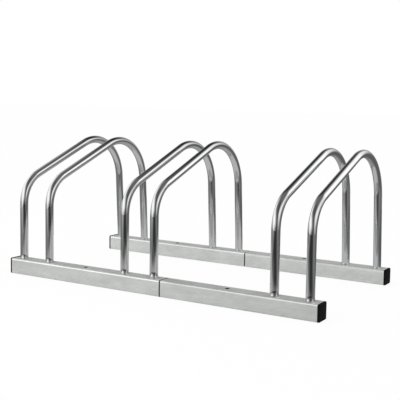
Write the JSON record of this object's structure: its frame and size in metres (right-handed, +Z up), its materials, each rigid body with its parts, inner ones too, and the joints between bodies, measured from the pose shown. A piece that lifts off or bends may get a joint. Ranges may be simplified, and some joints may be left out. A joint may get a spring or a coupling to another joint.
{
  "type": "bike parking stand",
  "caption": "Low floor stand that holds bicycles by a wheel between paired bent tube hoops standing on square-tube ground rails.",
  "frame": {"origin": "centre of the footprint, on the ground plane", "axes": "+X along the rails to the right, +Y from the front rail to the rear rail, +Z up"},
  "size_m": [0.705, 0.37, 0.2838],
  "materials": {
    "galvanised": "satin galvanised square tube",
    "bright_zinc": "bright zinc-plated round tube",
    "black_plastic": "fine moulded grain",
    "zinc_hardware": "zinc-plated fasteners"
  },
  "bodies": {
    "root": {"front_rail_left": "galvanised", "front_rail_right": "galvanised", "rear_rail_left": "galvanised", "rear_rail_right": "galvanised", "front_rail_connector": "black_plastic", "rear_rail_connector": "black_plastic", "front_end_cap_left": "black_plastic", "front_end_cap_right": "black_plastic", "rear_end_cap_left": "black_plastic", "rear_end_cap_right": "black_plastic", "hoop_1": "bright_zinc", "hoop_2": "bright_zinc", "hoop_3": "bright_zinc", "hoop_4": "bright_zinc", "hoop_5": "bright_zinc", "hoop_6": "bright_zinc", "front_insert_1": "zinc_hardware", "front_insert_2": "zinc_hardware", "front_insert_3": "zinc_hardware", "front_insert_4": "zinc_hardware", "front_insert_5": "zinc_hardware", "front_insert_6": "zinc_hardware", "rear_insert_1": "zinc_hardware", "rear_insert_2": "zinc_hardware", "rear_insert_3": "zinc_hardware", "rear_insert_4": "zinc_hardware", "rear_insert_5": "zinc_hardware", "rear_insert_6": "zinc_hardware", "front_screw_1": "zinc_hardware", "front_screw_2": "zinc_hardware", "front_screw_3": "zinc_hardware", "front_screw_4": "zinc_hardware", "front_screw_5": "zinc_hardware", "front_screw_6": "zinc_hardware", "rear_screw_1": "zinc_hardware", "rear_screw_2": "zinc_hardware", "rear_screw_3": "zinc_hardware", "rear_screw_4": "zinc_hardware", "rear_screw_5": "zinc_hardware", "rear_screw_6": "zinc_hardware"}
  },
  "joints": []
}
